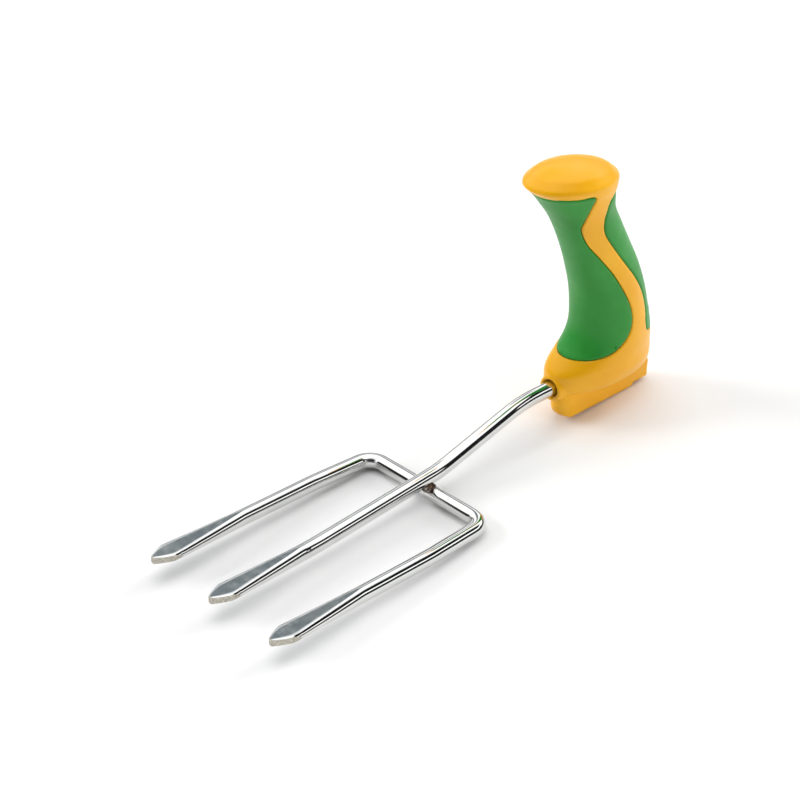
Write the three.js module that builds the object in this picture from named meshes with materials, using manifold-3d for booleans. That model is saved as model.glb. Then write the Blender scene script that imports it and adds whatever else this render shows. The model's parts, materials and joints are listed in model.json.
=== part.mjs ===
// Three-tine hand fork with an upright pistol-grip handle.
//
// Millimetres, +Z up. Everything is first built in the tool's own frame: the tines run along -X,
// the handle stands at +X, and the origin is on the crossbar's axis, midway between the outer tines.
// At the end the whole tool is tipped back until the keel under its handle and the underside of its
// crossbar both touch the ground, and the origin moves to the middle of its footprint.

import * as THREE from 'three';
import { mergeVertices } from 'three/addons/utils/BufferGeometryUtils.js';
import Module from 'manifold-3d';

const wasm = await Module();
wasm.setup();

// ---- driving dimensions ----

const gap = 0.3;                 // clearance between pieces that touch
const shortestEdge = 0.04;       // of a solid's triangles

const rodDiameter = 8;
const tineSpacing = 40.8;        // from the centre tine's axis to an outer tine's
const crossbarReach = 38.9;      // from the middle to the crossbar's corners, which the tines flare from
const flareLength = 38;          // of the stretch over which an outer tine flares
const tineLength = 137;          // from the crossbar's axis to a tip
const cornerRadius = 9;          // of the bends between crossbar and outer tines, to the rod's axis
const flareRadius = 80;
const weldSetDown = 1.0;         // how far the centre rod is pressed into the crossbar

const bladeLength = 54;          // of the flattened end of a tine, with its point
const bladeWidth = 12.4;
const bladeThickness = 4.1;
const pointLength = 12.5;
const tipWidth = 2.6;
const tipRise = 0.8;             // how far a tip curves up from its tine's axis

const tineFall = 0.08;           // slope of the centre tine where it comes down from the crossbar
const neckSlope = 0.272;         // slope of the neck between its two bends
const tineBendRadius = 200;
const neckBendRadius = 75;
const neckStart = 8;             // where the first bend's corner is, behind the crossbar
const tangHeight = 23.3;         // of the tang's axis above the crossbar's axis
const tangEnd = 137;             // how far behind the crossbar the tang ends
const earLength = 12;            // of the flattened stretch that stops the tang from turning
const earWidth = 11;
const earThickness = 5.4;

const keelBottom = 3.8;          // height of the keel's underside above the crossbar's axis
const keelWidth = 12;
const keelFront = 91;
const keelBack = 159;
const keelCornerRadius = 8;
const keelStep = 2;              // how much higher the keel's underside is at its rear end
const keelStepStart = 146;
const collarRadius = 7.0;        // of the boss around the rod
const collarFront = 87;

const handleAxis = 125;          // the line from which the handle's reaches are given
const rimHeight = 135.7;         // of the cap's rim above the keel's underside
const domeHeight = 9.0;
const capTilt = THREE.MathUtils.degToRad(3.4);
const gripThickness = 2.8;       // of the soft panels

// The handle's side view and width. level is the share of rimHeight, front and back are the reach
// from handleAxis towards the tines and away from them, half is half the width.
const handleProfile = [
  { level: 0.09, front: 33, back: 32, half: 7.5 },
  { level: 0.11, front: 36, back: 33.7, half: 13.5 },
  { level: 0.13, front: 37.4, back: 34.2, half: 16.2 },
  { level: 0.17, front: 38.4, back: 34, half: 17.9 },
  { level: 0.21, front: 37.2, back: 33.2, half: 17.9 },
  { level: 0.25, front: 30.5, back: 32, half: 17.9 },
  { level: 0.28, front: 25.4, back: 30.8, half: 17.9 },
  { level: 0.33, front: 21.2, back: 28.5, half: 17.9 },
  { level: 0.39, front: 20.3, back: 25.4, half: 17.9 },
  { level: 0.49, front: 22, back: 20.2, half: 17.9 },
  { level: 0.59, front: 26.6, back: 14, half: 17.2 },
  { level: 0.69, front: 32.4, back: 6, half: 16.3 },
  { level: 0.8, front: 40.2, back: -3, half: 15.8 },
  { level: 0.87, front: 46.4, back: -8.4, half: 16.1 },
  { level: 0.93, front: 53.4, back: -9.7, half: 17.4 },
  { level: 0.97, front: 59, back: -9.2, half: 18.2 },
  { level: 1, front: 64, back: -8.2, half: 18.6 },
];

// The soft panels' edges in side view, from the top down: [reach back from handleAxis, level].
const frontGripEdge = [
  [-40.5, 0.985], [-37.5, 0.97], [-38.5, 0.925], [-38.5, 0.87], [-37.5, 0.825], [-32, 0.755],
  [-24, 0.685], [-15.5, 0.61], [-8, 0.53], [-2, 0.455], [1, 0.39], [0.5, 0.34],
  [-3, 0.3], [-10, 0.268], [-20, 0.256], [-30, 0.256],
];
const rearGripEdge = [
  [-20, 0.945], [-25, 0.93], [-26.5, 0.89], [-27, 0.85], [-24.5, 0.79], [-14.5, 0.695],
  [-6.5, 0.625], [1, 0.56], [7, 0.495], [11, 0.435], [13, 0.39], [14, 0.34],
  [17, 0.295], [24, 0.27],
];

// ---- sizes worked out from them ----

const rodRadius = rodDiameter / 2;
const crossingHeight = rodDiameter - weldSetDown;
const crankHeight = crossingHeight + tineFall * neckStart;
const tangCorner = neckStart + (tangHeight - crankHeight) / neckSlope;
const keelTop = keelBottom + 0.15 * rimHeight;

// ---- helpers ----

function toSolid(geometry) {
  const plain = geometry.clone();
  plain.deleteAttribute('normal');
  plain.deleteAttribute('uv');
  const merged = mergeVertices(plain, 1e-4);
  const mesh = new wasm.Mesh({
    numProp: 3,
    vertProperties: new Float32Array(merged.attributes.position.array),
    triVerts: new Uint32Array(merged.index.array),
  });
  return new wasm.Manifold(mesh);
}

// The same triangles with every edge shorter than shortestEdge shrunk to a point, which removes the
// slivers that cuts leave.
function withoutSlivers(vertices, triangles) {
  const alias = Array.from({ length: vertices.length / 3 }, (_, i) => i);
  const keeper = (i) => (alias[i] === i ? i : keeper(alias[i]));
  const point = (i) => new THREE.Vector3().fromArray(vertices, 3 * i);
  const corners = (i) => [triangles[i], triangles[i + 1], triangles[i + 2]].map(keeper);
  for (let i = 0; i < triangles.length; i += 3) {
    const [a, b, c] = corners(i);
    for (const [from, to] of [[a, b], [b, c], [c, a]]) {
      if (point(from).distanceTo(point(to)) < shortestEdge) alias[keeper(from)] = keeper(to);
    }
  }
  const kept = [];
  for (let i = 0; i < triangles.length; i += 3) {
    const [a, b, c] = corners(i);
    if (a !== b && b !== c && c !== a) kept.push(a, b, c);
  }
  return kept;
}

function toGeometry(solid) {
  const { vertProperties, triVerts } = solid.getMesh();
  const kept = withoutSlivers(vertProperties, triVerts);
  const geometry = new THREE.BufferGeometry();
  geometry.setAttribute('position', new THREE.BufferAttribute(new Float32Array(vertProperties), 3));
  geometry.setIndex(kept);
  geometry.computeVertexNormals();
  return geometry;
}

// A closed cylinder whose rings are moved to the given stations. place(ring, angle) gives the point
// of a ring's outline at an angle, which turns clockwise as seen looking along the stations, and
// place(ring, null) the ring's middle.
function loft(ringCount, sides, place) {
  const steps = ringCount - 1;
  const geometry = new THREE.CylinderGeometry(1, 1, 1, sides, steps);
  const position = geometry.attributes.position;
  for (let i = 0; i < position.count; i += 1) {
    const x = position.getX(i);
    const z = position.getZ(i);
    const ring = Math.round((0.5 - position.getY(i)) * steps);
    const side = (Math.round((Math.atan2(x, z) / (2 * Math.PI)) * sides) + sides) % sides;
    const angle = Math.hypot(x, z) > 0.5 ? (2 * Math.PI * side) / sides : null;
    const point = place(ring, angle);
    position.setXYZ(i, point.x, point.y, point.z);
  }
  return geometry;
}

// A smooth value between the rows of a table whose rows are in order of their level.
function smoothValue(table, level, key) {
  const last = table.length - 1;
  const slope = (i) => {
    const low = table[Math.max(i - 1, 0)];
    const high = table[Math.min(i + 1, last)];
    return (high[key] - low[key]) / (high.level - low.level);
  };
  let i = 0;
  while (i < last - 1 && level > table[i + 1].level) i += 1;
  const span = table[i + 1].level - table[i].level;
  const t = THREE.MathUtils.clamp((level - table[i].level) / span, 0, 1);
  const start = table[i][key] * (1 + 2 * t) * (1 - t) ** 2 + slope(i) * span * t * (1 - t) ** 2;
  return start + table[i + 1][key] * t * t * (3 - 2 * t) + slope(i + 1) * span * t * t * (t - 1);
}

// The corners of an open line in a plane, each rounded to its radius.
function roundedLine(corners, radii, stepsPerCorner) {
  const points = [corners[0]];
  for (let i = 1; i < corners.length - 1; i += 1) {
    const radius = radii[i - 1];
    const before = corners[i - 1].clone().sub(corners[i]).normalize();
    const after = corners[i + 1].clone().sub(corners[i]).normalize();
    const half = Math.acos(THREE.MathUtils.clamp(before.dot(after), -1, 1)) / 2;
    const middle = before.clone().add(after).normalize().multiplyScalar(radius / Math.sin(half));
    const centre = corners[i].clone().add(middle);
    const start = corners[i].clone().addScaledVector(before, radius / Math.tan(half)).sub(centre);
    const turn = Math.sign(start.cross(middle.clone().negate())) * (Math.PI - 2 * half);
    for (let k = 0; k <= stepsPerCorner; k += 1) {
      const angle = (turn * k) / stepsPerCorner;
      points.push(start.clone().rotateAround(new THREE.Vector2(), angle).add(centre));
    }
  }
  points.push(corners[corners.length - 1]);
  return points;
}

// An outline drawn in side view, as a prism right through the tool.
function sidePrism(points, width) {
  const geometry = new THREE.ExtrudeGeometry(new THREE.Shape(points), { depth: width, bevelEnabled: false });
  geometry.translate(0, 0, -width / 2);
  geometry.rotateX(Math.PI / 2);
  return toSolid(geometry);
}

// An outline drawn in plan, as a prism between two heights.
function planPrism(points, low, high) {
  const geometry = new THREE.ExtrudeGeometry(new THREE.Shape(points), { depth: high - low, bevelEnabled: false });
  geometry.translate(0, 0, low);
  return toSolid(geometry);
}

// ---- rods and blades ----

// Half width, top and bottom of a tine's section at a distance from its tip.
function tineSection(fromTip) {
  const taper = bladeLength - pointLength;
  const share = THREE.MathUtils.clamp((bladeLength - fromTip) / taper, 0, 1);
  const half = THREE.MathUtils.lerp(rodRadius, bladeWidth / 2, share);
  const level = THREE.MathUtils.lerp(rodRadius, bladeThickness / 2, share);
  return { half, depth: THREE.MathUtils.lerp(rodRadius, 0.75 * rodRadius, share), top: level, bottom: -level };
}

function tineLift(fromTip) {
  const reach = bladeLength + 3 * rodDiameter;
  return fromTip < reach ? tipRise * ((reach - fromTip) / reach) ** 2 : 0;
}

const bladeStations = [0, pointLength, 20, 28, 36, 45, bladeLength, bladeLength + 2 * rodDiameter];

// A rod's solid from its stations, each {at, across, up, half, depth, top, bottom}.
function rodSolid(stations, clearance) {
  return toSolid(loft(stations.length, 24, (ring, angle) => {
    const { at, across, up, half, depth, top, bottom } = stations[ring];
    const point = at.clone();
    if (angle === null) return point;
    const height = (depth + clearance) * Math.sin(angle);
    point.addScaledVector(across, (half + clearance) * Math.cos(angle));
    return point.addScaledVector(up, THREE.MathUtils.clamp(height, bottom - clearance, top + clearance));
  }));
}

// The outline of a tine's point in plan, which shears the blade's end.
function pointCutter(middle) {
  const back = tineLength - pointLength;
  const half = bladeWidth / 2;
  const side = (sign) => new THREE.QuadraticBezierCurve(
    new THREE.Vector2(-back, middle + sign * half),
    new THREE.Vector2(-back - 0.55 * pointLength, middle + sign * 0.78 * half),
    new THREE.Vector2(-tineLength, middle + (sign * tipWidth) / 2),
  ).getPoints(6);
  const wide = 2 * bladeWidth;
  const edge = [...side(1), ...side(-1).reverse()];
  const keep = [new THREE.Vector2(-back, middle + wide), ...edge, new THREE.Vector2(-back, middle - wide)];
  const far = [
    new THREE.Vector2(-tineLength - wide, middle - wide),
    new THREE.Vector2(-tineLength - wide, middle + wide),
  ];
  return planPrism([...keep, ...far].reverse(), -wide, wide);
}

// Cut from the handle with a clearance, the same rod leaves room all round and past the tang's end.
function centreRodSolid(clearance) {
  const level = new THREE.Vector2(-tineLength, tipRise);
  const foot = new THREE.Vector2(-(crossingHeight - tipRise) / tineFall, tipRise);
  const corners = [
    level,
    foot,
    new THREE.Vector2(neckStart, crankHeight),
    new THREE.Vector2(tangCorner, tangHeight),
    new THREE.Vector2(tangEnd + clearance, tangHeight),
  ];
  const line = roundedLine(corners, [tineBendRadius, neckBendRadius, neckBendRadius], 5);
  const blade = bladeStations.slice(0, -1).map((d) => new THREE.Vector2(d - tineLength, tipRise));
  const ears = [1.6 * earLength, earLength, 0.4 * earLength].map((d) => new THREE.Vector2(tangEnd - d, tangHeight));
  const points = [...blade, ...line.slice(1, -1), ...ears, line[line.length - 1]];
  const stations = points.map((point, i) => {
    const before = points[Math.max(i - 1, 0)];
    const after = points[Math.min(i + 1, points.length - 1)];
    const along = after.clone().sub(before).normalize();
    const fromEnd = tangEnd - point.x;
    const section = fromEnd <= earLength
      ? { half: earWidth / 2, depth: rodRadius, top: earThickness / 2, bottom: -earThickness / 2 }
      : tineSection(point.x + tineLength);
    return {
      at: new THREE.Vector3(point.x, 0, point.y),
      across: new THREE.Vector3(0, -1, 0),
      up: new THREE.Vector3(-along.y, 0, along.x),
      ...section,
    };
  });
  return rodSolid(stations, clearance);
}

function outerRodSolid(clearance) {
  const corner = (reach, sign) => new THREE.Vector2(-reach, sign * (reach > 0 ? tineSpacing : crossbarReach));
  const corners = [
    corner(tineLength, 1),
    corner(flareLength, 1),
    corner(0, 1),
    corner(0, -1),
    corner(flareLength, -1),
    corner(tineLength, -1),
  ];
  const radii = [flareRadius, cornerRadius, cornerRadius, flareRadius];
  const bend = roundedLine(corners, radii, 6).slice(1, -1);
  const tine = (sign) => bladeStations.map((d) => new THREE.Vector2(d - tineLength, sign * tineSpacing));
  const points = [...tine(1), ...bend, ...tine(-1).reverse()];
  const up = new THREE.Vector3(0, 0, 1);
  const stations = points.map((point, i) => {
    const before = points[Math.max(i - 1, 0)];
    const after = points[Math.min(i + 1, points.length - 1)];
    const along = new THREE.Vector3(after.x - before.x, after.y - before.y, 0).normalize();
    const onTine = Math.abs(point.y) > tineSpacing - 0.01;
    const fromTip = onTine ? point.x + tineLength : tineLength;
    return {
      at: new THREE.Vector3(point.x, point.y, tineLift(fromTip)),
      across: along.clone().cross(up),
      up,
      ...tineSection(fromTip),
    };
  });
  return rodSolid(stations, clearance);
}

// The weld's fillet in the corner between crossbar and centre rod, on one side.
function weldBeadSolid(side) {
  const bead = new THREE.SphereGeometry(1, 20, 14);
  bead.scale(0.6 * rodDiameter, 0.36 * rodDiameter, 0.34 * rodDiameter);
  bead.translate(-0.2 * rodDiameter, side * (rodRadius + 0.5), rodRadius + 0.3);
  return toSolid(bead).subtract(centreRodSolid(gap)).subtract(outerRodSolid(gap));
}

// ---- handle ----

// The handle's outer form, or its core when it is shrunk by an inset.
function gripForm(inset) {
  const levels = [];
  const first = handleProfile[0].level;
  const ringSteps = 24;
  for (let i = 0; i <= ringSteps; i += 1) levels.push(first + ((1 - first) * i) / ringSteps);
  const domeSteps = 6;
  const rings = levels.map((level) => ({ level, share: 1, rise: 0 }));
  for (let i = 1; i <= domeSteps; i += 1) {
    const angle = ((Math.PI / 2) * i) / (domeSteps + 0.35);
    rings.push({ level: 1, share: Math.cos(angle), rise: domeHeight * Math.sin(angle) });
  }
  return toSolid(loft(rings.length, 36, (ring, angle) => {
    const { level, share, rise } = rings[ring];
    const front = handleAxis - smoothValue(handleProfile, level, 'front') + inset;
    const back = handleAxis + smoothValue(handleProfile, level, 'back') - inset;
    const half = smoothValue(handleProfile, level, 'half') - inset;
    const middle = (front + back) / 2;
    const height = keelBottom + level * rimHeight + rise;
    if (angle === null) return new THREE.Vector3(middle, 0, height);
    const x = share * ((back - front) / 2) * Math.cos(angle);
    const tilt = THREE.MathUtils.smoothstep(level, 0.9, 1) * Math.tan(capTilt);
    return new THREE.Vector3(middle + x, -share * half * Math.sin(angle), height - x * tilt);
  }));
}

function keelSolid() {
  const half = keelWidth / 2;
  const plan = new THREE.Path();
  plan.moveTo(keelBack, -half);
  plan.lineTo(keelBack, half);
  plan.lineTo(keelFront + half, half);
  plan.absarc(keelFront + half, 0, half, Math.PI / 2, 1.5 * Math.PI);
  const side = roundedLine([
    new THREE.Vector2(keelFront, keelTop),
    new THREE.Vector2(keelFront, keelBottom),
    new THREE.Vector2(keelStepStart, keelBottom),
  ], [keelCornerRadius], 6);
  const rear = [
    new THREE.Vector2(keelStepStart + keelStep, keelBottom + keelStep),
    new THREE.Vector2(keelBack, keelBottom + keelStep),
    new THREE.Vector2(keelBack, keelTop),
  ];
  const block = planPrism(plan.getPoints(10).slice(0, -1), keelBottom - 1, keelTop);
  return block.intersect(sidePrism([...side, ...rear], 3 * keelWidth));
}

function collarSolid() {
  const length = handleAxis - collarFront;
  const geometry = new THREE.CylinderGeometry(collarRadius, collarRadius, length, 28);
  geometry.rotateZ(Math.PI / 2);
  geometry.translate(collarFront + length / 2, 0, tangHeight);
  return toSolid(geometry);
}

function edgePoints(edge, steps) {
  const curve = new THREE.SplineCurve(edge.map(([reach, level]) => (
    new THREE.Vector2(handleAxis + reach, keelBottom + level * rimHeight)
  )));
  return curve.getPoints(steps);
}

// The region of a soft panel in side view. The panel runs past the handle at one end, and an
// outset pushes its edge outwards.
function gripRegion(edge, direction, outset) {
  const inner = edgePoints(edge, 32).map((point, i, all) => {
    const along = all[Math.min(i + 1, all.length - 1)].clone().sub(all[Math.max(i - 1, 0)]).normalize();
    return point.clone().add(new THREE.Vector2(-along.y, along.x).multiplyScalar(direction * outset));
  });
  const past = handleAxis - direction * rimHeight;
  const first = inner[0];
  const last = inner[inner.length - 1];
  const closed = [new THREE.Vector2(past, first.y), ...inner, new THREE.Vector2(past, last.y)];
  return sidePrism(closed, 4 * rodDiameter + 2 * gripThickness + 20);
}

const form = gripForm(0);
const tangHole = centreRodSolid(gap);

function gripSolid(edge, direction) {
  return form.intersect(gripRegion(edge, direction, 0)).subtract(gripForm(gripThickness));
}

function gripRecess(edge, direction) {
  const proud = gripForm(-1).subtract(gripForm(gripThickness + gap));
  return proud.intersect(gripRegion(edge, direction, gap));
}

function handleBodySolid() {
  return form
    .add(keelSolid())
    .add(collarSolid())
    .subtract(gripRecess(frontGripEdge, 1))
    .subtract(gripRecess(rearGripEdge, -1))
    .subtract(tangHole);
}

// ---- materials ----

const steel = { color: 0xd9dadb, roughness: 0.12, metalness: 1 };
const burntSteel = { color: 0x4a3a30, roughness: 0.6, metalness: 0.7 };
const yellowPlastic = { color: 0xf2b431, roughness: 0.35, metalness: 0 };
const greenRubber = { color: 0x3a9a48, roughness: 0.6, metalness: 0 };

function piece(name, solid, finish) {
  const mesh = new THREE.Mesh(toGeometry(solid), new THREE.MeshStandardMaterial(finish));
  mesh.name = name;
  return mesh;
}

// ---- assembly ----

const crossbarSaddle = outerRodSolid(gap);
const centreRod = centreRodSolid(0).subtract(pointCutter(0)).subtract(crossbarSaddle);
const outerRod = outerRodSolid(0).subtract(pointCutter(tineSpacing)).subtract(pointCutter(-tineSpacing));

const tool = new THREE.Group();
tool.add(
  piece('outer_rod', outerRod, steel),
  piece('centre_rod', centreRod, steel),
  piece('weld_bead_left', weldBeadSolid(1), burntSteel),
  piece('weld_bead_right', weldBeadSolid(-1), burntSteel),
  piece('handle_body', handleBodySolid(), yellowPlastic),
  piece('front_grip', gripSolid(frontGripEdge, 1), greenRubber),
  piece('rear_grip', gripSolid(rearGripEdge, -1), greenRubber),
);

// Tipped back about the crossbar until the keel's rear edge reaches the ground as well.
const keelReach = Math.hypot(keelStepStart, keelBottom);
tool.rotation.y = Math.atan2(keelBottom, keelStepStart) + Math.asin(rodRadius / keelReach);
tool.updateMatrixWorld(true);

const box = new THREE.Box3().setFromObject(tool, true);
tool.position.set(-(box.min.x + box.max.x) / 2, 0, -box.min.z);

const part = new THREE.Group();
part.add(tool);
export default part;
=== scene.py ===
"""Looks of the three-tine hand fork: smooth rods, welds, moulded handle and soft panels.

Lengths are millimetres in the tool's own frame, as in the CAD source: tines along -X, handle at +X,
origin on the crossbar's axis. to_row() takes them to metres in the row frame.
"""

import json
import math

import bpy
import numpy as np
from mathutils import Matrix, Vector, noise


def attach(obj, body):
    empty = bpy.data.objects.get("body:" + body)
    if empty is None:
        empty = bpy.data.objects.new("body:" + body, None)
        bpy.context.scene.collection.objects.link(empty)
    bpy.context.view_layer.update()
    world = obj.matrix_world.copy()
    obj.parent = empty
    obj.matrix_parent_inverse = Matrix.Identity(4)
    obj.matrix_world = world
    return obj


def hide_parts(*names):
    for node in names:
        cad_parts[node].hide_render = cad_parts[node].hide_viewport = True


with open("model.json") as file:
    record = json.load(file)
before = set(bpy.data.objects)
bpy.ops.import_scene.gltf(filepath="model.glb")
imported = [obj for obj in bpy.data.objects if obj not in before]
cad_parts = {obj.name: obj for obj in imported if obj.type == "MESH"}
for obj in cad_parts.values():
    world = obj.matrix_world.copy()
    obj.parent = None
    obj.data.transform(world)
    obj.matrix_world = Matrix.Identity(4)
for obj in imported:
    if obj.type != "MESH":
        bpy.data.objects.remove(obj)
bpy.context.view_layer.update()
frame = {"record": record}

MM = 0.001

# ---- sizes, the same as the CAD's ----

ROD_RADIUS = 4.0
TINE_SPACING = 40.8
CROSSBAR_REACH = 38.9
FLARE_LENGTH = 38.0
FLARE_RADIUS = 80.0
TINE_LENGTH = 137.0
CORNER_RADIUS = 9.0
WELD_SET_DOWN = 1.0
BLADE_LENGTH = 54.0
BLADE_WIDTH = 12.4
BLADE_THICKNESS = 4.1
POINT_LENGTH = 12.5
TIP_WIDTH = 2.6
TIP_RISE = 0.8
TINE_FALL = 0.08
NECK_SLOPE = 0.272
TINE_BEND_RADIUS = 200.0
NECK_BEND_RADIUS = 75.0
NECK_START = 8.0
TANG_HEIGHT = 23.3
TANG_END = 137.0

KEEL_BOTTOM = 3.8
KEEL_HALF = 6.0
KEEL_FRONT = 91.0
KEEL_BACK = 159.0
KEEL_CORNER_RADIUS = 8.0
KEEL_STEP = 2.0
KEEL_STEP_START = 146.0
COLLAR_FRONT = 87.0
COLLAR_WALL = (5.7, 6.7)     # radii between which the moulding's skin steps back inside the collar
MOUTH_DEPTH = 5.0

HANDLE_AXIS = 125.0
RIM_HEIGHT = 135.7
DOME_HEIGHT = 9.0
CAP_TILT = math.radians(3.4)
CAP_LIP = 0.35               # how far the cap's rim stands out
CAP_CREASE = 0.4             # depth of the soft crease where the dome meets the rim
GRIP_THICKNESS = 2.8
RECESS_DEPTH = GRIP_THICKNESS + 0.3
PANEL_GAP = 0.2              # between a soft panel's edge and the moulding's
MOULDING_EDGE = (0.6, 0.9)   # depth and width of the rounding along the recesses
PANEL_EDGE = (0.75, 1.3)     # and along the soft panels' edges

# share of the rim's height, reach to the front, reach to the back, half the width
PROFILE = np.array([
    (0.09, 33, 32, 7.5),
    (0.11, 36, 33.7, 13.5),
    (0.13, 37.4, 34.2, 16.2),
    (0.17, 38.4, 34, 17.9),
    (0.21, 37.2, 33.2, 17.9),
    (0.25, 30.5, 32, 17.9),
    (0.28, 25.4, 30.8, 17.9),
    (0.33, 21.2, 28.5, 17.9),
    (0.39, 20.3, 25.4, 17.9),
    (0.49, 22, 20.2, 17.9),
    (0.59, 26.6, 14, 17.2),
    (0.69, 32.4, 6, 16.3),
    (0.8, 40.2, -3, 15.8),
    (0.87, 46.4, -8.4, 16.1),
    (0.93, 53.4, -9.7, 17.4),
    (0.97, 59, -9.2, 18.2),
    (1, 64, -8.2, 18.6),
])

# (reach from the handle's axis, level) of the points along each panel's edge
FRONT_GRIP_EDGE = [
    (-40.5, 0.985), (-37.5, 0.97), (-38.5, 0.925), (-38.5, 0.87), (-37.5, 0.825), (-32, 0.755),
    (-24, 0.685), (-15.5, 0.61), (-8, 0.53), (-2, 0.455), (1, 0.39), (0.5, 0.34),
    (-3, 0.3), (-10, 0.268), (-20, 0.256), (-30, 0.256),
]
REAR_GRIP_EDGE = [
    (-20, 0.945), (-25, 0.93), (-26.5, 0.89), (-27, 0.85), (-24.5, 0.79), (-14.5, 0.695),
    (-6.5, 0.625), (1, 0.56), (7, 0.495), (11, 0.435), (13, 0.39), (14, 0.34),
    (17, 0.295), (24, 0.27),
]

# ---- the tool's place in the row frame, from the heel mount ----

HEEL_IN_TOOL = (KEEL_BACK, 14.0)
heel = next(m for m in frame["record"]["mounts"] if m["name"] == "heel_face")
LEAN_COS, LEAN_SIN = heel["axis"][0], -heel["axis"][2]
OFFSET_X = heel["pos_m"][0] - MM * (LEAN_COS * HEEL_IN_TOOL[0] + LEAN_SIN * HEEL_IN_TOOL[1])
OFFSET_Z = heel["pos_m"][2] - MM * (LEAN_COS * HEEL_IN_TOOL[1] - LEAN_SIN * HEEL_IN_TOOL[0])


def to_row(points):
    p = np.asarray(points, float).reshape(-1, 3) * MM
    x = LEAN_COS * p[:, 0] + LEAN_SIN * p[:, 2] + OFFSET_X
    z = -LEAN_SIN * p[:, 0] + LEAN_COS * p[:, 2] + OFFSET_Z
    return np.stack([x, p[:, 1], z], axis=1)


# ---- node materials ----

def srgb(r, g, b):
    def linear(c):
        c = c / 255
        return c / 12.92 if c <= 0.04045 else ((c + 0.055) / 1.055) ** 2.4
    return (linear(r), linear(g), linear(b), 1.0)


def new_material(name, metallic=0.0, specular=0.5):
    material = bpy.data.materials.new(name)
    material.use_nodes = True
    nodes = material.node_tree.nodes
    nodes.clear()
    shader = nodes.new("ShaderNodeBsdfPrincipled")
    output = nodes.new("ShaderNodeOutputMaterial")
    material.node_tree.links.new(shader.outputs["BSDF"], output.inputs["Surface"])
    shader.inputs["Metallic"].default_value = metallic
    shader.inputs["Specular IOR Level"].default_value = specular
    return material, shader


def object_coords(material, scale=(1, 1, 1)):
    """Object coordinates, stretched by scale."""
    nodes, links = material.node_tree.nodes, material.node_tree.links
    coords = nodes.new("ShaderNodeTexCoord")
    mapping = nodes.new("ShaderNodeMapping")
    mapping.inputs["Scale"].default_value = scale
    links.new(coords.outputs["Object"], mapping.inputs["Vector"])
    return mapping.outputs["Vector"]


def noise_value(material, vector, scale, detail=4.0, roughness=0.55):
    texture = material.node_tree.nodes.new("ShaderNodeTexNoise")
    texture.inputs["Scale"].default_value = scale
    texture.inputs["Detail"].default_value = detail
    texture.inputs["Roughness"].default_value = roughness
    material.node_tree.links.new(vector, texture.inputs["Vector"])
    return texture.outputs["Fac"]


def ramp(material, value, stops):
    node = material.node_tree.nodes.new("ShaderNodeValToRGB")
    elements = node.color_ramp.elements
    while len(elements) < len(stops):
        elements.new(0.5)
    for element, (position, colour) in zip(elements, stops):
        element.position = position
        element.color = colour
    material.node_tree.links.new(value, node.inputs["Fac"])
    return node.outputs["Color"]


def spread(material, value, low, high):
    """The value, taken from 0.3 to 0.7, mapped to low to high."""
    node = material.node_tree.nodes.new("ShaderNodeMapRange")
    node.inputs["From Min"].default_value = 0.3
    node.inputs["From Max"].default_value = 0.7
    node.inputs["To Min"].default_value = low
    node.inputs["To Max"].default_value = high
    material.node_tree.links.new(value, node.inputs["Value"])
    return node.outputs["Result"]


def add_bump(material, shader, heights):
    """heights are (value, strength, distance), chained."""
    normal = None
    for value, strength, distance in heights:
        node = material.node_tree.nodes.new("ShaderNodeBump")
        node.inputs["Strength"].default_value = strength
        node.inputs["Distance"].default_value = distance
        material.node_tree.links.new(value, node.inputs["Height"])
        if normal is not None:
            material.node_tree.links.new(normal, node.inputs["Normal"])
        normal = node.outputs["Normal"]
    material.node_tree.links.new(normal, shader.inputs["Normal"])


def moulded(name, tones, roughness, grain, specular):
    """A moulded surface with soft clouds of tone, a fine grain and patchy gloss."""
    material, shader = new_material(name, specular=specular)
    link = material.node_tree.links.new
    plain = object_coords(material)
    clouds = noise_value(material, plain, 38, 3)
    link(ramp(material, clouds, tones), shader.inputs["Base Color"])
    patches = noise_value(material, plain, 160, 4)
    link(spread(material, patches, *roughness), shader.inputs["Roughness"])
    grain_scale, grain_strength, grain_depth = grain
    fine = noise_value(material, plain, grain_scale, 3, 0.6)
    wavy = noise_value(material, plain, 120, 2)
    add_bump(material, shader, [(wavy, 0.05, 0.0008), (fine, grain_strength, grain_depth)])
    return material, shader


yellow_plastic, _ = moulded(
    "yellow_plastic_moulded",
    [(0.25, srgb(231, 164, 6)), (0.55, srgb(236, 171, 10)), (0.8, srgb(241, 179, 22))],
    (0.30, 0.42), (1500, 0.10, 0.00005), 0.4,
)
green_rubber, green_shader = moulded(
    "green_rubber_moulded",
    [(0.25, srgb(33, 129, 41)), (0.55, srgb(40, 138, 48)), (0.8, srgb(49, 146, 56))],
    (0.44, 0.56), (2300, 0.22, 0.00008), 0.36,
)
green_shader.inputs["Sheen Weight"].default_value = 0.12
green_shader.inputs["Sheen Roughness"].default_value = 0.4


def plated(name, tones, roughness, streak_strength):
    """Plated steel with drawing lines that run along the tines, and a faint waviness."""
    material, shader = new_material(name, metallic=1.0)
    link = material.node_tree.links.new
    plain = object_coords(material)
    lengthwise = object_coords(material, (0.03, 1, 1))
    link(ramp(material, noise_value(material, plain, 90, 3), tones), shader.inputs["Base Color"])
    patches = noise_value(material, plain, 260, 5)
    link(spread(material, patches, *roughness), shader.inputs["Roughness"])
    streaks = noise_value(material, lengthwise, 2600, 3)
    waves = noise_value(material, plain, 70, 2)
    add_bump(material, shader, [(waves, 0.10, 0.0006), (streaks, streak_strength, 0.00003)])
    return material


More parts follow.
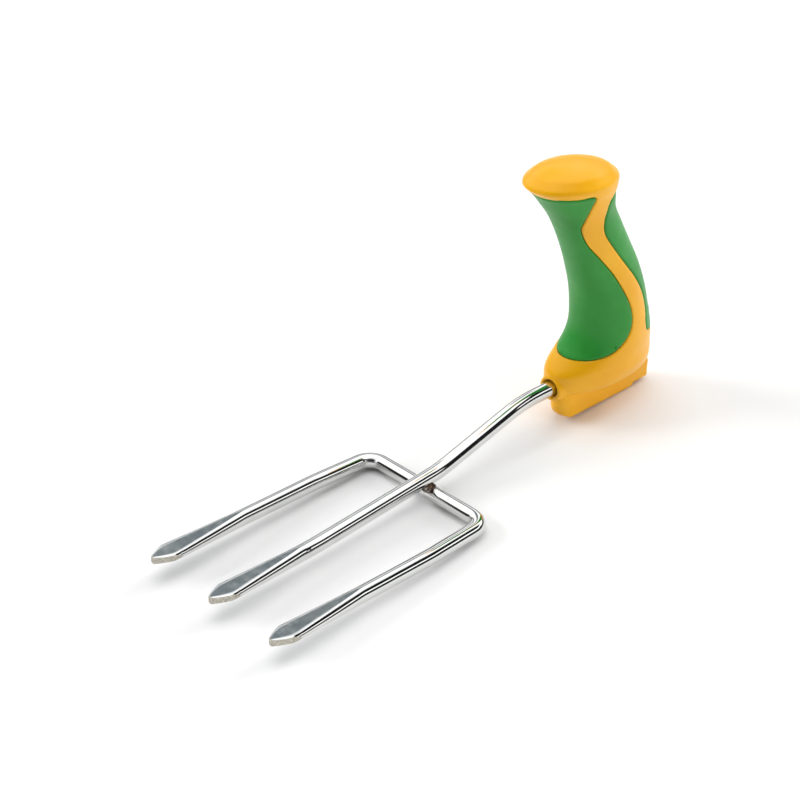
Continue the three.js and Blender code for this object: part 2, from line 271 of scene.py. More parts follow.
chrome = plated(
    "plated_steel_bright",
    [(0.3, (0.67, 0.67, 0.66, 1)), (0.7, (0.74, 0.74, 0.73, 1))], (0.035, 0.09), 0.12,
)
pressed_chrome = plated(
    "plated_steel_pressed_face",
    [(0.25, (0.42, 0.46, 0.48, 1)), (0.5, (0.50, 0.52, 0.52, 1)), (0.75, (0.58, 0.59, 0.57, 1))],
    (0.16, 0.26), 0.35,
)


def sheared_steel():
    """The torn grain that a shear leaves across a plated edge."""
    material, shader = new_material("plated_steel_sheared_edge", metallic=1.0)
    link = material.node_tree.links.new
    plain = object_coords(material)
    upright = object_coords(material, (1, 1, 0.35))
    grain = noise_value(material, upright, 3400, 4, 0.65)
    tones = [(0.32, srgb(120, 114, 100)), (0.5, srgb(178, 173, 160)), (0.68, srgb(232, 229, 221))]
    link(ramp(material, grain, tones), shader.inputs["Base Color"])
    link(spread(material, grain, 0.5, 0.28), shader.inputs["Roughness"])
    coarse = noise_value(material, plain, 900, 2)
    add_bump(material, shader, [(coarse, 0.4, 0.0003), (grain, 0.5, 0.00015)])
    return material


def weld_metal():
    """Weld metal with brown heat tints and a soft unevenness."""
    material, shader = new_material("weld_heat_tinted", metallic=1.0)
    link = material.node_tree.links.new
    plain = object_coords(material)
    tint = noise_value(material, plain, 260, 4, 0.5)
    tones = [(0.3, srgb(52, 38, 33)), (0.48, srgb(96, 74, 62)), (0.7, srgb(186, 178, 168))]
    link(ramp(material, tint, tones), shader.inputs["Base Color"])
    link(spread(material, tint, 0.18, 0.34), shader.inputs["Roughness"])
    add_bump(material, shader, [(noise_value(material, plain, 900, 2), 0.12, 0.0002)])
    return material


sheared_edge = sheared_steel()
weld = weld_metal()


# ---- mesh helpers ----

def make_object(name, points, faces, materials, kinds=None, sharp=40):
    """A smooth-shaded object from points in the tool's frame. kinds gives each face's material."""
    mesh = bpy.data.meshes.new(name)
    mesh.from_pydata(to_row(points).tolist(), [], faces)
    for material in materials:
        mesh.materials.append(material)
    if kinds is not None:
        mesh.polygons.foreach_set("material_index", kinds)
    mesh.validate()
    mesh.shade_smooth()
    mesh.set_sharp_from_angle(angle=math.radians(sharp))
    mesh.update()
    made = bpy.data.objects.new(name, mesh)
    bpy.context.scene.collection.objects.link(made)
    return made


def place(piece, slot, *nodes):
    """Puts a piece on the tool's body, in the CAD nodes' place."""
    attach(piece, "root")
    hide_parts(*nodes)


def smoothstep(low, high, x):
    """0 up to low, 1 from high on, and smooth between."""
    t = np.clip((np.asarray(x, float) - low) / (high - low), 0, 1)
    return t * t * (3 - 2 * t)


# ---- rods ----

def rounded_line(corners, radii, step):
    """The corners of an open line in a plane, each rounded to its radius."""
    corners = [np.array(c, float) for c in corners]
    points = [corners[0]]
    for i in range(1, len(corners) - 1):
        radius = radii[i - 1]
        before = corners[i - 1] - corners[i]
        before /= np.linalg.norm(before)
        after = corners[i + 1] - corners[i]
        after /= np.linalg.norm(after)
        half = math.acos(np.clip(before @ after, -1, 1)) / 2
        middle = before + after
        middle *= radius / math.sin(half) / np.linalg.norm(middle)
        start = before * (radius / math.tan(half)) - middle
        cross = start[0] * -middle[1] + start[1] * middle[0]
        turn = math.copysign(math.pi - 2 * half, cross)
        steps = max(4, math.ceil(radius * abs(turn) / step))
        for k in range(steps + 1):
            c, s = math.cos(turn * k / steps), math.sin(turn * k / steps)
            turned = np.array([c * start[0] - s * start[1], s * start[0] + c * start[1]])
            points.append(corners[i] + middle + turned)
    points.append(corners[-1])
    return points


def fill_in(points, step):
    """The line with extra points, none further apart than step."""
    out = [points[0]]
    for a, b in zip(points, points[1:]):
        n = max(1, math.ceil(np.linalg.norm(b - a) / step))
        out += [a + (b - a) * (k + 1) / n for k in range(n)]
    return out


def point_half_width(from_tip):
    """Half the width that the shears leave at a distance from the tip."""
    half = BLADE_WIDTH / 2
    t = np.linspace(0, 1, 60)
    reach = POINT_LENGTH * ((1 - t) ** 2 + 0.9 * t * (1 - t))
    width = (1 - t) ** 2 * half + 2 * t * (1 - t) * 0.78 * half + t * t * TIP_WIDTH / 2
    return np.interp(from_tip, reach[::-1], width[::-1])


# steps round a quarter of a rod's section: its pressed flat, its bevel and its sheared side
FLAT_STEPS = 3
BEVEL_STEPS = 7
CUT_STEPS = 3
QUARTER = FLAT_STEPS + BEVEL_STEPS + CUT_STEPS
STEEPEST = math.radians(84)      # a section that is pressed less than this angle's level stays round


def rod_section(from_tip):
    """A quarter of a tine's section, from the middle of its top to its side, and its kind."""
    share = min(max((BLADE_LENGTH - from_tip) / (BLADE_LENGTH - POINT_LENGTH), 0), 1)
    half = ROD_RADIUS + (BLADE_WIDTH / 2 - ROD_RADIUS) * share
    depth = ROD_RADIUS * (1 - 0.25 * share)
    level = ROD_RADIUS + (BLADE_THICKNESS / 2 - ROD_RADIUS) * share
    pressed = math.asin(min(1, level / depth))
    edge = min(pressed, STEEPEST)
    width = point_half_width(from_tip) if from_tip < POINT_LENGTH else half
    cut = max(math.radians(4), math.acos(min(1, width / half)))
    top = min(level, depth * math.sin(edge))
    low = depth * math.sin(cut)
    side = half * math.cos(cut)
    if from_tip < POINT_LENGTH:
        low = min(low, top - 0.5)
        side = width
    flat = min(half * math.cos(edge), side - 0.75)
    points = []
    for i in range(FLAT_STEPS):
        y = flat * i / FLAT_STEPS
        points.append((y, min(level, depth * math.sqrt(1 - (y / half) ** 2))))
    cut_shape = min(cut, edge - math.radians(15))
    for i in range(BEVEL_STEPS):
        angle = edge + (cut_shape - edge) * i / BEVEL_STEPS
        g = (math.cos(angle) - math.cos(edge)) / (math.cos(cut_shape) - math.cos(edge))
        h = (math.sin(angle) - math.sin(cut_shape)) / (math.sin(edge) - math.sin(cut_shape))
        points.append((flat + (side - flat) * g, low + (top - low) * h))
    for i in range(CUT_STEPS):
        t = i / CUT_STEPS
        if from_tip < POINT_LENGTH:
            points.append((side, low * (1 - t)))
        else:
            points.append((half * math.cos(cut * (1 - t)), depth * math.sin(cut * (1 - t))))
    return points, (half if from_tip >= POINT_LENGTH else side), pressed < STEEPEST


def rod_ring(from_tip):
    """The whole section, from the middle of its top round its right side, and whether it is pressed."""
    quarter, side, pressed = rod_section(from_tip)
    right_top = quarter + [(side, 0.0)]
    right = right_top + [(y, -z) for y, z in reversed(quarter)]
    left = [(-y, z) for y, z in reversed(right[1:-1])]
    return right + left, pressed


def tine_lift(from_tip):
    """How far an outer tine rises towards its tip."""
    reach = BLADE_LENGTH + 6 * ROD_RADIUS
    return TIP_RISE * ((reach - from_tip) / reach) ** 2 if from_tip < reach else 0.0


def rod_mesh(stations):
    """A rod through stations, which are (middle, across, up, distance from the tip).

    A face's kind is 0 where it is round, 1 where it is pressed flat and 2 where it is sheared.
    """
    points, faces, kinds = [], [], []
    count = 4 * QUARTER
    rings = []
    for middle, across, up, from_tip in stations:
        ring, pressed = rod_ring(from_tip)
        rings.append((pressed, from_tip < POINT_LENGTH))
        points += [middle + across * y + up * z for y, z in ring]
    for i in range(len(stations) - 1):
        pressed = rings[i][0] and rings[i + 1][0]
        sheared = rings[i][1] or rings[i + 1][1]
        for k in range(count):
            n = (k + 1) % count
            faces.append((i * count + k, (i + 1) * count + k, (i + 1) * count + n, i * count + n))
            from_top = min(k, count - 1 - k)
            from_flat = min(from_top, 2 * QUARTER - 1 - from_top)
            if pressed and from_flat < FLAT_STEPS:
                kinds.append(1)
            elif sheared and from_flat >= FLAT_STEPS + BEVEL_STEPS:
                kinds.append(2)
            else:
                kinds.append(0)
    last = (len(stations) - 1) * count
    faces.append(tuple(range(count)))
    faces.append(tuple(range(last + count - 1, last - 1, -1)))
    kinds += [2, 2]
    return points, faces, kinds


def tine_distances():
    """Distances from a tip at which a tine's rings stand."""
    point = list(np.linspace(0, POINT_LENGTH - 0.02, 22))
    blade = list(np.linspace(POINT_LENGTH, BLADE_LENGTH + 2, 34))
    return point + blade


def stations_along(line, across_of, up_of, lift, from_tip_of):
    """Stations at a line's points. The functions take the line's direction or a point to 3-D."""
    stations = []
    for i, at in enumerate(line):
        along = line[min(i + 1, len(line) - 1)] - line[max(i - 1, 0)]
        along = along / np.linalg.norm(along)
        stations.append((lift(at), across_of(along), up_of(along), from_tip_of(at)))
    return stations


CROSSING_HEIGHT = 2 * ROD_RADIUS - WELD_SET_DOWN


def centre_rod():
    crank_height = CROSSING_HEIGHT + TINE_FALL * NECK_START
    corners = [
        (-TINE_LENGTH + BLADE_LENGTH + 2, TIP_RISE),
        (-(CROSSING_HEIGHT - TIP_RISE) / TINE_FALL, TIP_RISE),
        (NECK_START, crank_height),
        (NECK_START + (TANG_HEIGHT - crank_height) / NECK_SLOPE, TANG_HEIGHT),
        (TANG_END, TANG_HEIGHT),
    ]
    bend = rounded_line(corners, [TINE_BEND_RADIUS, NECK_BEND_RADIUS, NECK_BEND_RADIUS], 2.5)
    blade = [np.array([d - TINE_LENGTH, TIP_RISE]) for d in tine_distances()[:-1]]
    straight = [p for p in bend if p[0] > blade[-1][0] + 0.5]
    line = blade + fill_in(straight, 3)
    stations = stations_along(
        line,
        lambda along: np.array([0.0, 1.0, 0.0]),
        lambda along: np.array([-along[1], 0.0, along[0]]),
        lambda at: np.array([at[0], 0.0, at[1]]),
        lambda at: at[0] + TINE_LENGTH,
    )
    return rod_mesh(stations)


def outer_rod():
    corners = [
        (-TINE_LENGTH + BLADE_LENGTH + 2, TINE_SPACING),
        (-FLARE_LENGTH, TINE_SPACING),
        (0, CROSSBAR_REACH),
        (0, -CROSSBAR_REACH),
        (-FLARE_LENGTH, -TINE_SPACING),
        (-TINE_LENGTH + BLADE_LENGTH + 2, -TINE_SPACING),
    ]
    bend = rounded_line(corners, [FLARE_RADIUS, CORNER_RADIUS, CORNER_RADIUS, FLARE_RADIUS], 1.2)
    blade = [np.array([d - TINE_LENGTH, TINE_SPACING]) for d in tine_distances()[:-1]]
    line = blade + fill_in(bend, 3) + [p * (1, -1) for p in reversed(blade)]

    def from_tip(at):
        return at[0] + TINE_LENGTH if at[0] < -FLARE_LENGTH else TINE_LENGTH

    stations = stations_along(
        line,
        lambda along: np.array([-along[1], along[0], 0.0]),
        lambda along: np.array([0.0, 0.0, 1.0]),
        lambda at: np.array([at[0], at[1], tine_lift(from_tip(at))]),
        from_tip,
    )
    return rod_mesh(stations)


rod_materials = [chrome, pressed_chrome, sheared_edge]
for name, (points, faces, kinds), node in [
    ("centre_tine_and_tang", centre_rod(), "centre_rod"),
    ("outer_tines_and_crossbar", outer_rod(), "outer_rod"),
]:
    rod = make_object(name, points, faces, rod_materials, kinds, sharp=32)
    place(rod, "plated_steel", node)


# ---- welds ----

def weld_bead(side):
    """A rippled fillet in the corner between the crossbar and the centre rod."""
    around, along = 40, 56
    middle_x, length, width, height = -2.4, 8.4, 4.2, 3.6
    corner = ROD_RADIUS - 0.2
    points, faces = [], []
    for i in range(1, along):
        t = math.pi * i / along
        for k in range(around):
            a = 2 * math.pi * k / around
            wave = 1 + 0.07 * math.cos(11 * t)
            rough = 0.08 * noise.noise(Vector((2 * math.cos(t), math.cos(a), math.sin(a) + side)))
            r = math.sin(t) * wave * (1 + rough) / 2
            points.append((
                middle_x - length / 2 * math.cos(t),
                side * (corner + width * r * math.cos(a)),
                corner + height * r * math.sin(a),
            ))
    points += [(middle_x + end * length / 2, side * corner, corner) for end in (-1, 1)]
    rings = along - 1
    for k in range(around):
        n = (k + 1) % around
        start = (rings * around, n, k)
        end = (rings * around + 1, (rings - 1) * around + k, (rings - 1) * around + n)
        faces += [start, end] if side > 0 else [start[::-1], end[::-1]]
    for i in range(rings - 1):
        for k in range(around):
            n = (k + 1) % around
            quad = (i * around + k, i * around + n, (i + 1) * around + n, (i + 1) * around + k)
            faces.append(quad if side > 0 else quad[::-1])
    return points, faces


for side, node in ((1, "weld_bead_left"), (-1, "weld_bead_right")):
    points, faces = weld_bead(side)
    bead = make_object(node + "_rippled", points, faces, [weld])
    place(bead, "weld_metal", node)


# ---- handle ----

def profile(level, column):
    """A smooth value between the profile's rows."""
    rows, last = PROFILE, len(PROFILE) - 1
    level = np.clip(level, rows[0, 0], rows[-1, 0])
    i = np.clip(np.searchsorted(rows[:, 0], level, side="left") - 1, 0, last - 1)
    low, high = np.maximum(np.arange(last + 1) - 1, 0), np.minimum(np.arange(last + 1) + 1, last)
    slope = (rows[high, column] - rows[low, column]) / (rows[high, 0] - rows[low, 0])
    span = rows[i + 1, 0] - rows[i, 0]
    t = (level - rows[i, 0]) / span
    start = rows[i, column] * (1 + 2 * t) * (1 - t) ** 2 + slope[i] * span * t * (1 - t) ** 2
    return start + rows[i + 1, column] * t * t * (3 - 2 * t) + slope[i + 1] * span * t * t * (t - 1)


def keel_outline(angle, height):
    """The keel's outline in plan at an angle, 0 at the middle of its flat back.

    Its nose is an ellipse that gets shorter below the front corner's rounding.
    """
    below = KEEL_CORNER_RADIUS - min(max(height, 0.02), KEEL_CORNER_RADIUS)
    reach = math.sqrt(KEEL_CORNER_RADIUS ** 2 - below ** 2)
    turned = np.abs((angle + math.pi) % (2 * math.pi) - math.pi)
    sign = np.where((angle % (2 * math.pi)) <= math.pi, -1.0, 1.0)
    corner = 1.3
    flat_end, corner_end, side_end = (math.radians(a) for a in (9, 19, 150))
    t = np.clip((turned - flat_end) / (corner_end - flat_end), 0, 1) * math.pi / 2
    x = KEEL_BACK - corner + corner * np.cos(t)
    on_back = (KEEL_HALF - corner) * turned / flat_end
    y = np.where(turned < flat_end, on_back, KEEL_HALF - corner + corner * np.sin(t))
    along = np.clip((turned - corner_end) / (side_end - corner_end), 0, 1)
    start, end = KEEL_BACK - corner, KEEL_FRONT + KEEL_CORNER_RADIUS
    x = np.where(turned > corner_end, start + (end - start) * (1 - np.cos(along * math.pi)) / 2, x)
    bow = np.clip((turned - side_end) / (math.pi - side_end), 0, 1) * math.pi / 2
    x = np.where(turned > side_end, end - reach * np.sin(bow), x)
    y = np.where(turned > side_end, KEEL_HALF * np.cos(bow), y)
    return x, sign * y


def keel_underside(x):
    """How far the keel's underside is above its lowest level. It steps up near the back."""
    return KEEL_STEP * smoothstep(KEEL_STEP_START, KEEL_STEP_START + KEEL_STEP, x)


KEEL_BLEND_TOP = 11.5     # the outline is the keel's own up to here, and the skirt's from the next on
SKIRT_START = 17.5
SIDES = 216               # points round each ring
DOME_STEPS = 30


def handle_rings():
    """(height above the keel's underside, share of the ring, rise of the dome) of each ring."""
    lower_edge = [(0, 0.86), (0.12, 0.92), (0.45, 0.97), (1.0, 1)]
    rings = [(h, s, 0) for h, s in lower_edge]
    rings += [(h, 1, 0) for h in np.linspace(1.8, KEEL_BLEND_TOP, 12)[:-1]]
    rings += [(h, 1, 0) for h in np.linspace(KEEL_BLEND_TOP, 22, 22)[:-1]]
    rings += [(h, 1, 0) for h in np.linspace(22, RIM_HEIGHT, 192)]
    for i in range(1, DOME_STEPS):
        angle = math.pi / 2 * i / DOME_STEPS
        rings.append((RIM_HEIGHT, math.cos(angle), DOME_HEIGHT * math.sin(angle)))
    return rings


def handle_grid():
    """Points of the handle's outer form, ring by ring."""
    rings = handle_rings()
    angle = 2 * math.pi * np.arange(SIDES) / SIDES
    grid = np.zeros((len(rings), SIDES, 3))
    for i, (height, share, rise) in enumerate(rings):
        level = height / RIM_HEIGHT
        front = HANDLE_AXIS - profile(level, 1)
        back = HANDLE_AXIS + profile(level, 2)
        half = profile(level, 3)
        full = share if rise else 1
        lip = CAP_LIP * smoothstep(0.955, 0.975, level) * (1 if rise == 0 else share ** 8)
        reach = full * ((back - front) / 2 + lip) * np.cos(angle)
        tilt = smoothstep(0.9, 1, level) * math.tan(CAP_TILT)
        ridge = smoothstep(0.80, 0.90, full) * smoothstep(1.0, 0.93, full)
        crease = CAP_CREASE * ridge if rise else 0
        skirt = np.stack([
            (front + back) / 2 + reach,
            -full * (half + lip) * np.sin(angle),
            KEEL_BOTTOM + height + rise - crease - reach * tilt,
        ], axis=1)
        inset = 1 - share if rise == 0 else 0
        keel_x, keel_y = keel_outline(angle, height)
        x = keel_x - inset * KEEL_HALF * smoothstep(145, KEEL_BACK, keel_x)
        under = keel_underside(keel_x) * max(0, 1 - height / KEEL_BLEND_TOP)
        keel = np.stack([x, keel_y * (1 - inset), KEEL_BOTTOM + height + under], axis=1)
        own = 1 - smoothstep(KEEL_BLEND_TOP, SKIRT_START, height)
        grid[i] = skirt * (1 - own) + keel * own
    return grid


def spline(edge, steps):
    """The uniform Catmull-Rom curve through an edge's points, in side view."""
    points = np.array([(HANDLE_AXIS + x, KEEL_BOTTOM + level * RIM_HEIGHT) for x, level in edge])
    out = []
    for i in range(len(points) - 1):
        p0, p1 = points[max(i - 1, 0)], points[i]
        p2, p3 = points[i + 1], points[min(i + 2, len(points) - 1)]
        for t in np.arange(steps) / steps:
            v0, v1 = (p2 - p0) / 2, (p3 - p1) / 2
            cubic = 2 * p1 - 2 * p2 + v0 + v1
            square = -3 * p1 + 3 * p2 - 2 * v0 - v1
            out.append(cubic * t ** 3 + square * t ** 2 + v0 * t + p1)
    out.append(points[-1])
    return np.array(out)


def signed_distance(edge, direction, xz):
    """Distance in side view to a panel's edge, positive inside the panel."""
    curve = spline(edge, 8)
    past = HANDLE_AXIS - direction * RIM_HEIGHT
    line = np.vstack([(past, curve[0, 1]), curve, (past, curve[-1, 1])])
    distance = np.full(len(xz), 1e9)
    inside = np.zeros(len(xz), bool)
    for a, b in zip(line, line[1:]):
        along = b - a
        t = np.clip(((xz - a) @ along) / (along @ along), 0, 1)
        distance = np.minimum(distance, np.hypot(*(xz - a - t[:, None] * along).T))
    closed = np.vstack([line, line[:1]])
    for a, b in zip(closed, closed[1:]):
        if a[1] == b[1]:
            continue
        crosses = (a[1] > xz[:, 1]) != (b[1] > xz[:, 1])
        at = a[0] + (xz[:, 1] - a[1]) * (b[0] - a[0]) / (b[1] - a[1])
        inside ^= crosses & (xz[:, 0] < at)
    return np.where(inside, distance, -distance)


grid = handle_grid()
flat_grid = grid.reshape(-1, 3)
front_field = signed_distance(FRONT_GRIP_EDGE, 1, flat_grid[:, [0, 2]]).reshape(grid.shape[:2])
rear_field = signed_distance(REAR_GRIP_EDGE, -1, flat_grid[:, [0, 2]]).reshape(grid.shape[:2])


class SplitSkin:
    """The handle's form as triangles that follow the line where a field is 0."""

    def __init__(self, field):
        self.points = grid.copy()
        self.field = field.copy()
        self.snap()
        rows, columns = self.field.shape
        self.list = [p for p in self.points.reshape(-1, 3)]
        self.values = list(self.field.reshape(-1))
        self.cuts = {}
        self.inner, self.outer = [], []
        for i in range(rows - 1):
            for k in range(columns):
                n = (k + 1) % columns
                a, b = i * columns + k, i * columns + n
                d, c = (i + 1) * columns + k, (i + 1) * columns + n
                if self.values[a] * self.values[c] >= 0:
                    self.add(a, b, c)
                    self.add(a, c, d)
                else:
                    self.add(a, b, d)
                    self.add(b, c, d)
        apex = self.new_point(self.points[-1].mean(0), -1.0)
        last = (rows - 1) * columns
        for k in range(columns):
            self.add(last + k, last + (k + 1) % columns, apex)
        self.close_underside(columns)
        self.finish()

    def close_underside(self, columns):
        """A fan at the keel's flat back, whose points are in line, and strips across the rest."""
        pivot = columns // 18
        for k in range(-pivot, pivot - 1):
            self.add(pivot, (k + 1) % columns, k % columns)
        for k in range(pivot, columns // 2):
            left, next_left = columns - k, columns - k - 1
            if next_left != k + 1:
                self.add(k, next_left, k + 1)
            self.add(k, left, next_left)

    def snap(self):
        """Moves the points next to the line onto it, so that no slivers are left."""
        moved, found = self.points.copy(), np.full(self.field.shape, 0.3)
        for shift, axis in ((1, 0), (-1, 0), (1, 1), (-1, 1)):
            other = np.roll(self.field, -shift, axis)
            place_there = np.roll(self.points, -shift, axis)
            if axis == 0:
                edge = -1 if shift == 1 else 0
                other[edge] = self.field[edge]
            with np.errstate(divide="ignore", invalid="ignore"):
                t = np.where(self.field * other < 0, self.field / (self.field - other), 1.0)
            better = t < found
            moved[better] = (self.points + (place_there - self.points) * t[..., None])[better]
            found[better] = t[better]
        self.points = moved
        self.field[found < 0.3] = 0.0

    def new_point(self, point, value):
        """Adds a point with its field's value, and gives its index."""
        self.list.append(np.array(point))
        self.values.append(value)
        return len(self.list) - 1

    def cut(self, a, b):
        """The point where the line crosses an edge."""
        key = (min(a, b), max(a, b))
        if key not in self.cuts:
            t = self.values[a] / (self.values[a] - self.values[b])
            self.cuts[key] = self.new_point(self.list[a] + (self.list[b] - self.list[a]) * t, 0.0)
        return self.cuts[key]

    def add(self, *triangle):
        """Files a triangle as inner or outer, or splits it where the line crosses it."""
        triangle = triangle[::-1]
        values = [self.values[i] for i in triangle]
        if min(values) >= 0:
            self.inner.append(triangle)
        elif max(values) <= 0:
            self.outer.append(triangle)
        else:
            loops = {True: [], False: []}
            for i in range(3):
                a, b = triangle[i], triangle[(i + 1) % 3]
                va, vb = self.values[a], self.values[b]
                for keep in (True, False):
                    if va == 0 or (va > 0) == keep:
                        loops[keep].append(a)
                if va * vb < 0:
                    c = self.cut(a, b)
                    loops[True].append(c)
                    loops[False].append(c)
            for keep, store in ((True, self.inner), (False, self.outer)):
                loop = loops[keep]
                for i in range(1, len(loop) - 1):
                    store.append((loop[0], loop[i], loop[i + 1]))

    def finish(self):
        """Works out the points' normals."""
        self.at = np.array(self.list)
        triangles = np.array(self.inner + self.outer)
        a, b, c = self.at[triangles].transpose(1, 0, 2)
        normals = np.zeros_like(self.at)
        area = np.cross(b - a, c - a)
        for corner in range(3):
            np.add.at(normals, triangles[:, corner], area)
        self.normals = normals / np.linalg.norm(normals, axis=1, keepdims=True)

    def border(self):
        """Edges of the inner triangles that the outer ones share, in the inner ones' direction."""
        outer = {(t[(i + 1) % 3], t[i]) for t in self.outer for i in range(3)}
        inner = [(t[i], t[(i + 1) % 3]) for t in self.inner for i in range(3)]
        return [edge for edge in inner if edge in outer]


def quarter_round(depth, width, distance):
    """How far a surface drops at a distance from its edge, where it is rounded over."""
    t = np.clip(distance / width, 0, 1)
    return -depth * (1 - np.sqrt(np.clip(1 - (1 - t) ** 2, 0, 1)))


def collar_shell():
    """The ring round the rod, turned about the tang's axis."""
    # distance behind the collar's front, radius
    outline = [
        (13, 5.0), (11.5, 6.0), (9, 7.0), (6.5, 7.5), (4, 7.55), (2.2, 7.3), (0.7, 7.0), (-0.05, 6.7),
        (-0.5, 6.3), (-0.68, 5.8), (-0.6, 5.35), (-0.25, 4.95), (0.4, 4.65), (1.6, 4.45), (13, 4.4),
    ]
    around = 72
    points, faces = [], []
    for k in range(around):
        a = 2 * math.pi * k / around
        for x, r in outline:
            points.append((COLLAR_FRONT + x, r * math.cos(a), TANG_HEIGHT + r * math.sin(a)))
    n = len(outline)
    for k in range(around):
        m = (k + 1) % around
        for i in range(n):
            j = (i + 1) % n
            faces.append((k * n + i, m * n + i, m * n + j, k * n + j))
    return points, faces


def handle_moulding():
    """The yellow moulding: its skin, sunk where the panels lie and round the rod, and its collar."""
    skin = SplitSkin(np.maximum(front_field, rear_field))
    values = np.array(skin.values)
    top = skin.at + skin.normals * quarter_round(*MOULDING_EDGE, -values)[:, None]
    from_tang = np.hypot(top[:, 1], top[:, 2] - TANG_HEIGHT)
    mouth = np.where(top[:, 0] < HANDLE_AXIS, 1 - smoothstep(*COLLAR_WALL, from_tang), 0)
    top[:, 0] += mouth * np.maximum(COLLAR_FRONT + MOUTH_DEPTH - top[:, 0], 0)
    floor = skin.at - skin.normals * RECESS_DEPTH
    used = sorted({i for t in skin.outer for i in t})
    sunk = sorted({i for t in skin.inner for i in t})
    top_index = {v: i for i, v in enumerate(used)}
    floor_index = {v: len(used) + i for i, v in enumerate(sunk)}
    points = list(top[used]) + list(floor[sunk])
    faces = [tuple(top_index[i] for i in t) for t in skin.outer]
    faces += [tuple(floor_index[i] for i in t) for t in skin.inner]
    for a, b in skin.border():
        faces.append((floor_index[b], floor_index[a], top_index[a], top_index[b]))
    shell_points, shell_faces = collar_shell()
    shift = len(points)
    points += shell_points
    faces += [tuple(i + shift for i in face) for face in shell_faces]
    return points, faces


def panel(field, marks):
    """A soft panel: its rounded outer face with gate marks, its inner face and its rim."""
    skin = SplitSkin(field - PANEL_GAP)
    values = np.array(skin.values)
    shift = quarter_round(*PANEL_EDGE, values)
    for mark in marks:
        away = np.linalg.norm(skin.at - mark, axis=1)
        pit = np.exp(-((away / 0.8) ** 2))
        ring = np.exp(-(((away - 1.5) / 0.4) ** 2))
        shift = shift - 0.9 * pit + 0.22 * ring
    top = skin.at + skin.normals * shift[:, None]
    under = skin.at - skin.normals * GRIP_THICKNESS
    used = sorted({i for t in skin.inner for i in t})
    index = {v: i for i, v in enumerate(used)}
    count = len(used)
    points = list(top[used]) + list(under[used])
    faces = [tuple(index[i] for i in t) for t in skin.inner]
    faces += [tuple(index[i] + count for i in reversed(t)) for t in skin.inner]
    for a, b in skin.border():
        faces.append((index[a], index[a] + count, index[b] + count, index[b]))
    return points, faces


points, faces = handle_moulding()
moulding = make_object("handle_moulding", points, faces, [yellow_plastic], sharp=50)
place(moulding, "yellow_plastic", "handle_body")

# the last item of each is where the panel's gate marks are
for name, node, field, marks in (
    ("front_soft_panel", "front_grip", front_field, [(116.1, -15.8, 43.4)]),
    ("rear_soft_panel", "rear_grip", rear_field, [(143.3, -13.2, 55.1)]),
):
    points, faces = panel(field, [np.array(m) for m in marks])
    soft = make_object(name, points, faces, [green_rubber], sharp=50)
    place(soft, "green_rubber", node)


# ---- floor, light and camera ----

def floor():
    material, shader = new_material("studio_floor", specular=0.2)
    plain = object_coords(material)
    tones = [(0.3, (0.86, 0.86, 0.86, 1)), (0.7, (0.88, 0.88, 0.88, 1))]
    colour = ramp(material, noise_value(material, plain, 1.5, 2), tones)
    material.node_tree.links.new(colour, shader.inputs["Base Color"])
    shader.inputs["Roughness"].default_value = 0.7
    mesh = bpy.data.meshes.new("studio_floor")
    reach, level = 6.0, -0.0002
    corners = [(x * reach, y * reach, level) for x, y in ((-1, -1), (1, -1), (1, 1), (-1, 1))]
    mesh.from_pydata(corners, [], [(0, 1, 2, 3)])
    mesh.materials.append(material)
    made = bpy.data.objects.new("studio_floor", mesh)
    bpy.context.scene.collection.objects.link(made)


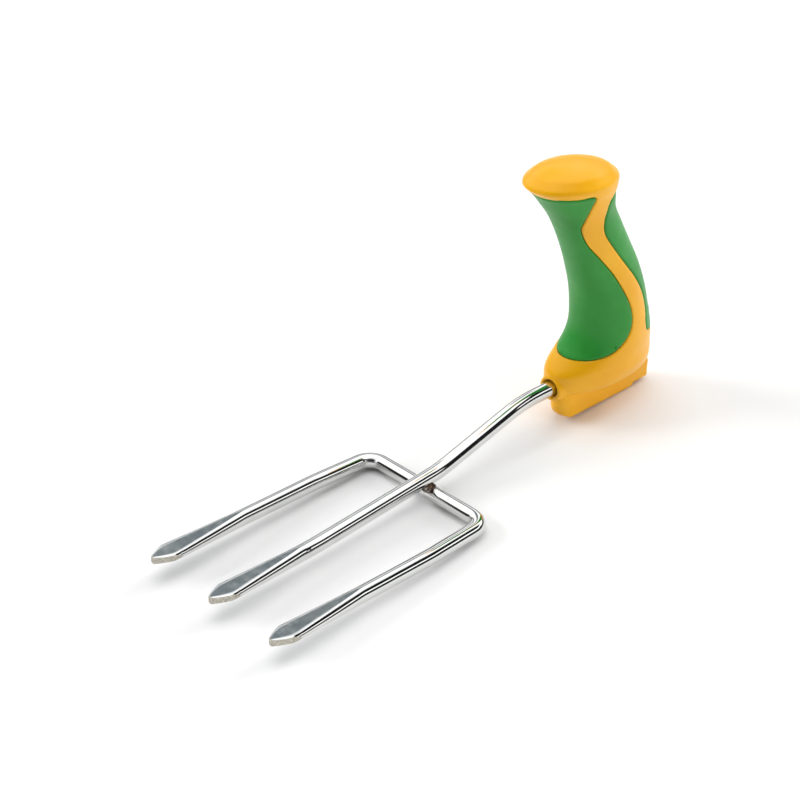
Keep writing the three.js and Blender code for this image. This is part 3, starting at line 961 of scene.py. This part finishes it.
def studio_world():
    """A white tent with dark walls low down and dark frames, so that plating shows thin dark lines."""
    world = bpy.data.worlds.new("studio")
    bpy.context.scene.world = world
    world.use_nodes = True
    tree = world.node_tree
    tree.nodes.clear()
    link = tree.links.new
    coords = tree.nodes.new("ShaderNodeTexCoord")
    parts = tree.nodes.new("ShaderNodeSeparateXYZ")
    link(coords.outputs["Generated"], parts.inputs["Vector"])

    def calc(operation, a, b):
        node = tree.nodes.new("ShaderNodeMath")
        node.operation = operation
        for index, value in enumerate((a, b)):
            if isinstance(value, (int, float)):
                node.inputs[index].default_value = value
            else:
                link(value, node.inputs[index])
        return node.outputs[0]

    def opposite(value):
        return calc("SUBTRACT", 1.0, value)

    def step(value, low, high):
        node = tree.nodes.new("ShaderNodeMapRange")
        node.interpolation_type = "SMOOTHSTEP"
        link(value, node.inputs["Value"])
        node.inputs["From Min"].default_value = low
        node.inputs["From Max"].default_value = high
        return node.outputs["Result"]

    def toward(direction, low, high):
        """1 in a soft-edged round spot about a direction."""
        node = tree.nodes.new("ShaderNodeVectorMath")
        node.operation = "DOT_PRODUCT"
        link(coords.outputs["Generated"], node.inputs[0])
        node.inputs[1].default_value = Vector(direction).normalized()
        return step(node.outputs["Value"], low, high)

    def mix(factor, a, b):
        node = tree.nodes.new("ShaderNodeMix")
        node.data_type = "RGBA"
        link(factor, node.inputs["Factor"])
        for index, value in ((6, a), (7, b)):
            if isinstance(value, tuple):
                node.inputs[index].default_value = value
            else:
                link(value, node.inputs[index])
        return node.outputs[2]

    x, y, z = (parts.outputs[axis] for axis in "XYZ")
    minus_x, minus_y = calc("MULTIPLY", x, -1.0), calc("MULTIPLY", y, -1.0)
    left = step(minus_x, 0.2, 0.6)
    near = step(minus_y, 0.15, 0.4)
    far = step(y, 0.15, 0.4)

    # the low walls, highest at the far left, and pale to the near left
    raised = calc("MULTIPLY", calc("MULTIPLY", left, far), 0.26)
    raised = calc("ADD", raised, calc("MULTIPLY", near, 0.10))
    above = calc("SUBTRACT", z, calc("ADD", 0.27, raised))
    wall = opposite(step(above, -0.03, 0.03))
    low_wall = mix(step(z, 0.0, 0.18), (0.14, 0.14, 0.135, 1), (0.012, 0.012, 0.012, 1))
    low_wall = mix(calc("MULTIPLY", left, opposite(far)), low_wall, (0.38, 0.38, 0.375, 1))

    # two bars of a dark frame on the near side, one level and one upright
    bar = calc("MULTIPLY", step(z, 0.50, 0.54), opposite(step(z, 0.74, 0.80)))
    bar = calc("MULTIPLY", bar, step(minus_y, 0.02, 0.2))
    post = calc("MULTIPLY", step(x, 0.26, 0.30), opposite(step(x, 0.44, 0.50)))
    post = calc("MULTIPLY", post, step(z, 0.24, 0.30))
    post = calc("MULTIPLY", post, step(minus_y, 0.55, 0.65))

    # a dark opening to the near left, and a grey card that the pressed faces reflect
    opening = toward((-0.62, -0.62, 0.42), 0.55, 0.95)
    card = toward((0.53, 0.597, 0.603), 0.975, 0.993)
    colour = mix(wall, (1.0, 1.0, 1.0, 1), low_wall)
    colour = mix(opening, colour, (0.07, 0.07, 0.075, 1))
    colour = mix(calc("MAXIMUM", bar, post), colour, (0.01, 0.01, 0.01, 1))
    colour = mix(card, colour, (0.15, 0.175, 0.19, 1))

    rays = tree.nodes.new("ShaderNodeLightPath")
    tent = tree.nodes.new("ShaderNodeBackground")
    link(colour, tent.inputs["Color"])
    brightness = calc("ADD", 0.6, calc("MULTIPLY", rays.outputs["Is Glossy Ray"], 0.95))
    link(brightness, tent.inputs["Strength"])
    plain = tree.nodes.new("ShaderNodeBackground")
    plain.inputs["Color"].default_value = (0.99, 0.99, 0.99, 1)
    either = tree.nodes.new("ShaderNodeMixShader")
    link(rays.outputs["Is Camera Ray"], either.inputs["Fac"])
    link(tent.outputs["Background"], either.inputs[1])
    link(plain.outputs["Background"], either.inputs[2])
    output = tree.nodes.new("ShaderNodeOutputWorld")
    link(either.outputs["Shader"], output.inputs["Surface"])


def soft_light(name, toward, strength, spread_degrees):
    """A broad even light from a direction. It is left out of reflections, which show the tent instead."""
    data = bpy.data.lights.new(name, "SUN")
    data.energy = strength
    data.angle = math.radians(spread_degrees)
    light = bpy.data.objects.new(name, data)
    light.rotation_euler = Vector(toward).to_track_quat("Z", "Y").to_euler()
    light.visible_glossy = False
    bpy.context.scene.collection.objects.link(light)


def camera():
    azimuth, elevation, distance = math.radians(-44.37), math.radians(33.37), 0.978
    aim = Vector((OFFSET_X - 0.0183, 0, 0.06456))
    back = Vector((
        math.sin(azimuth) * math.cos(elevation),
        -math.cos(azimuth) * math.cos(elevation),
        math.sin(elevation),
    ))
    data = bpy.data.cameras.new("camera")
    data.lens = 94.5
    data.clip_start = 0.01
    data.clip_end = 50
    made = bpy.data.objects.new("camera", data)
    made.location = aim + back * distance
    made.rotation_euler = (-back).to_track_quat("-Z", "Y").to_euler()
    bpy.context.scene.collection.objects.link(made)
    bpy.context.scene.camera = made


floor()
studio_world()
soft_light("top_light", (0.15, 0.25, 1.5), 1.1, 50)
soft_light("right_light", (1.17, -0.1, 0.52), 1.65, 30)
soft_light("left_light", (-0.83, 1.0, 0.62), 1.85, 30)
soft_light("front_light", (0.27, -1.3, 0.41), 1.25, 35)
camera()
bpy.context.scene.view_settings.view_transform = "Standard"
